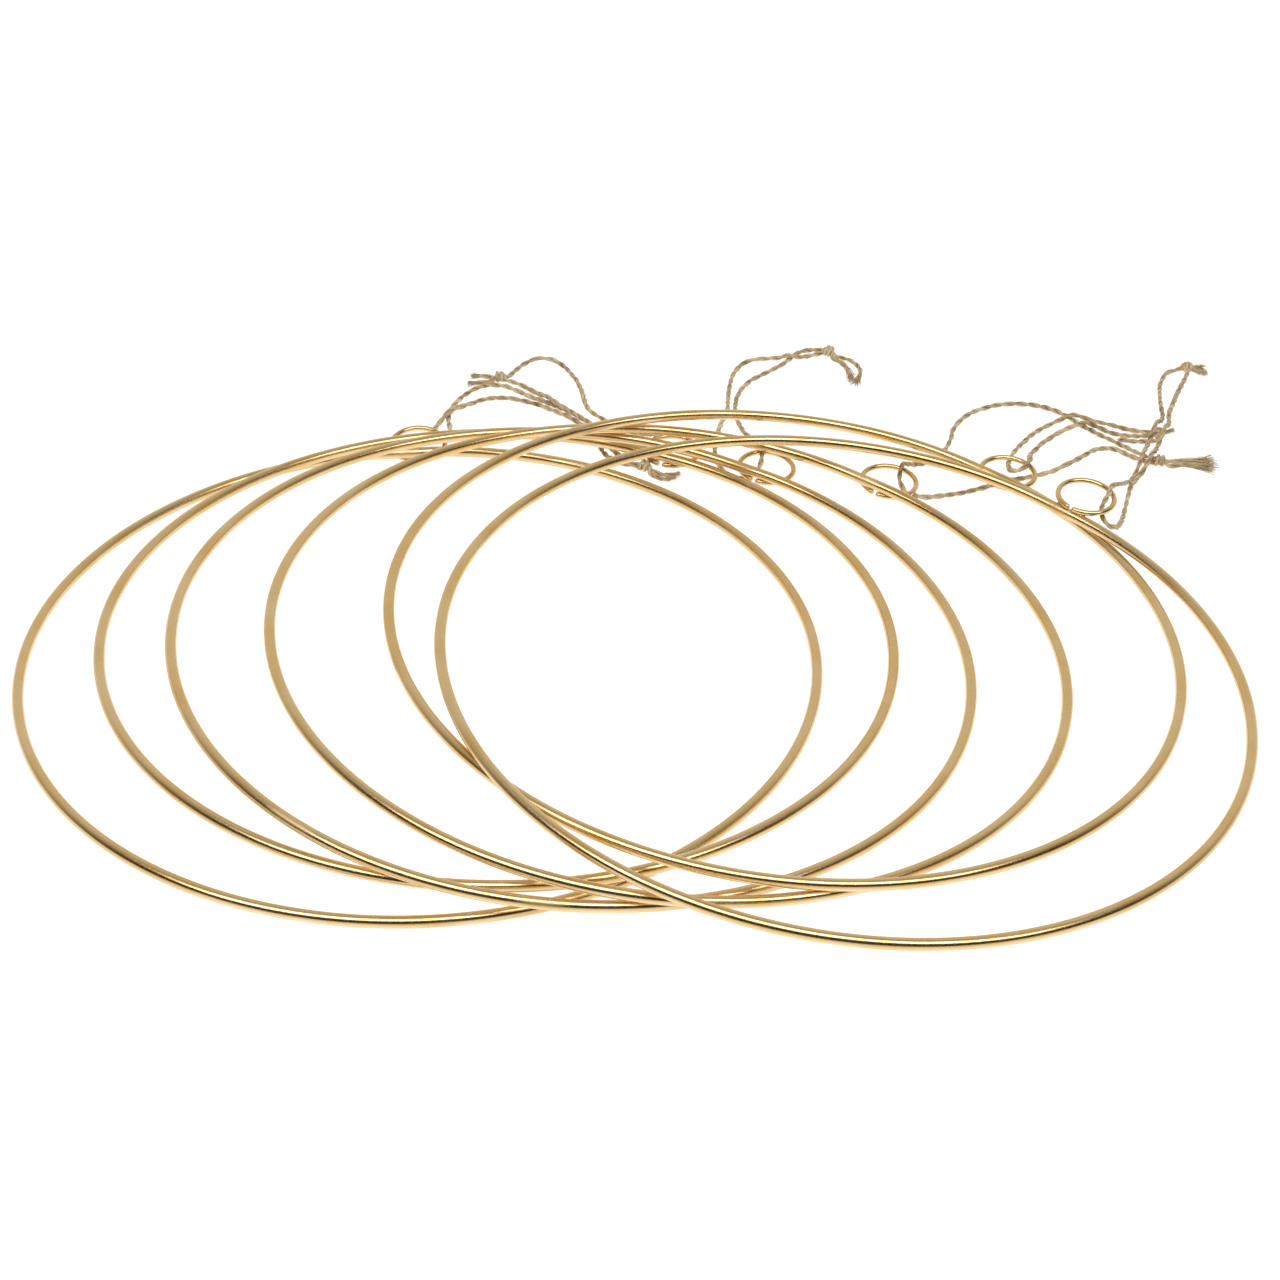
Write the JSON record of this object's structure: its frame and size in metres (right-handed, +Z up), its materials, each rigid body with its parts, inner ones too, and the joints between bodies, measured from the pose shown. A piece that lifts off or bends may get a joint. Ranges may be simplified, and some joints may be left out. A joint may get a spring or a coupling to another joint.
{
  "type": "wreath frame",
  "caption": "Loose fan of satin gold wire wreath hoops, each with a small welded hanging eyelet and a knotted loop of jute twine.",
  "frame": {"origin": "on the table, below the middle of the six hoops and their eyelets (the twine is not counted)", "axes": "+X along the fan from the bottom hoop to the top one, +Y towards the eyelets' side, +Z up from the table"},
  "size_m": [0.5635, 0.4908, 0.0418],
  "materials": {
    "satin_gold_wire": "satin champagne-gold plating over round steel wire",
    "weld_bead": "small rough weld beads under the same gold plating",
    "jute_twine": "two-ply natural jute twine, dry and hairy",
    "jute_knot": "overhand knot of the same twine with frayed ends"
  },
  "bodies": {
    "frame_1": {"hoop_1": "satin_gold_wire", "eyelet_1": "satin_gold_wire", "weld_1_left": "weld_bead", "weld_1_right": "weld_bead", "twine_1": "jute_twine", "knot_1": "jute_knot"},
    "frame_2": {"hoop_2": "satin_gold_wire", "eyelet_2": "satin_gold_wire", "weld_2_left": "weld_bead", "weld_2_right": "weld_bead", "twine_2": "jute_twine", "knot_2": "jute_knot"},
    "frame_3": {"hoop_3": "satin_gold_wire", "eyelet_3": "satin_gold_wire", "weld_3_left": "weld_bead", "weld_3_right": "weld_bead", "twine_3": "jute_twine", "knot_3": "jute_knot"},
    "frame_4": {"hoop_4": "satin_gold_wire", "eyelet_4": "satin_gold_wire", "weld_4_left": "weld_bead", "weld_4_right": "weld_bead", "twine_4": "jute_twine", "knot_4": "jute_knot"},
    "frame_5": {"hoop_5": "satin_gold_wire", "eyelet_5": "satin_gold_wire", "weld_5_left": "weld_bead", "weld_5_right": "weld_bead", "twine_5": "jute_twine", "knot_5": "jute_knot"},
    "frame_6": {"hoop_6": "satin_gold_wire", "eyelet_6": "satin_gold_wire", "weld_6_left": "weld_bead", "weld_6_right": "weld_bead", "twine_6": "jute_twine", "knot_6": "jute_knot"}
  },
  "joints": [
    {"name": "lift_frame_2", "type": "slide", "parent": "frame_1", "child": "frame_2", "axis": [0, 0, 1], "range_m": [0, 0.1]},
    {"name": "lift_frame_3", "type": "slide", "parent": "frame_2", "child": "frame_3", "axis": [0, 0, 1], "range_m": [0, 0.1]},
    {"name": "lift_frame_4", "type": "slide", "parent": "frame_3", "child": "frame_4", "axis": [0, 0, 1], "range_m": [0, 0.1]},
    {"name": "lift_frame_5", "type": "slide", "parent": "frame_4", "child": "frame_5", "axis": [0, 0, 1], "range_m": [0, 0.1]},
    {"name": "lift_frame_6", "type": "slide", "parent": "frame_5", "child": "frame_6", "axis": [0, 0, 1], "range_m": [0, 0.1]}
  ]
}
